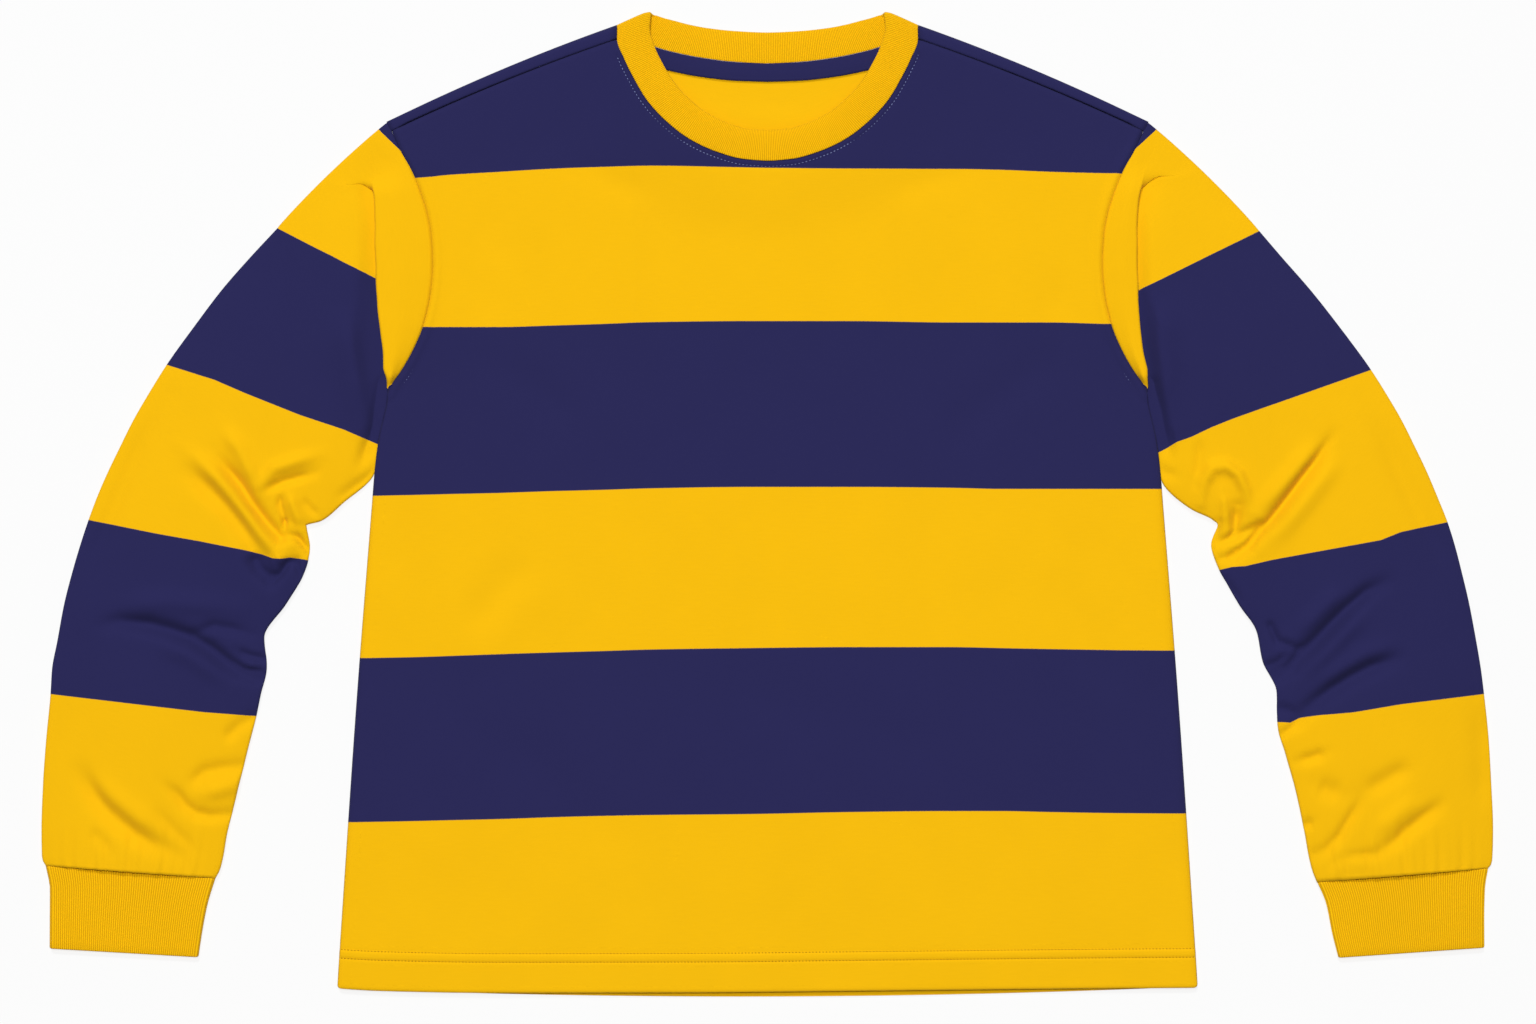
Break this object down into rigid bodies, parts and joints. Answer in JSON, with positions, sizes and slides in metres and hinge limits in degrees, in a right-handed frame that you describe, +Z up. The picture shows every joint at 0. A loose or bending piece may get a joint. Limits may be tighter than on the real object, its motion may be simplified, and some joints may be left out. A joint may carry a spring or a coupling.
{
  "type": "rugby shirt",
  "caption": "Long-sleeved striped jersey shirt with a rib crew neck and rib cuffs, laid flat on its back with its sleeves dropped beside the body.",
  "frame": {"origin": "on the surface it lies on, under the middle of the shirt's outline", "axes": "+X to the wearer's left and along the longest side, +Y up toward the neck, +Z up out of the front"},
  "size_m": [1.0167, 0.6909, 0.0074],
  "materials": {
    "body_jersey": "matt cotton jersey, yellow with broad navy stripes",
    "sleeve_jersey": "matt cotton jersey, yellow with broad navy stripes",
    "cuff_rib": "matt cotton rib, yellow",
    "neck_rib": "matt cotton rib, yellow",
    "neck_tape": "navy cotton tape",
    "facing_jersey": "matt cotton jersey, yellow"
  },
  "bodies": {
    "root": {"front": "body_jersey", "back": "body_jersey", "right_sleeve": "sleeve_jersey", "left_sleeve": "sleeve_jersey", "right_cuff": "cuff_rib", "left_cuff": "cuff_rib", "neckband": "neck_rib", "neck_tape": "neck_tape", "back_neck_facing": "facing_jersey"}
  },
  "joints": []
}
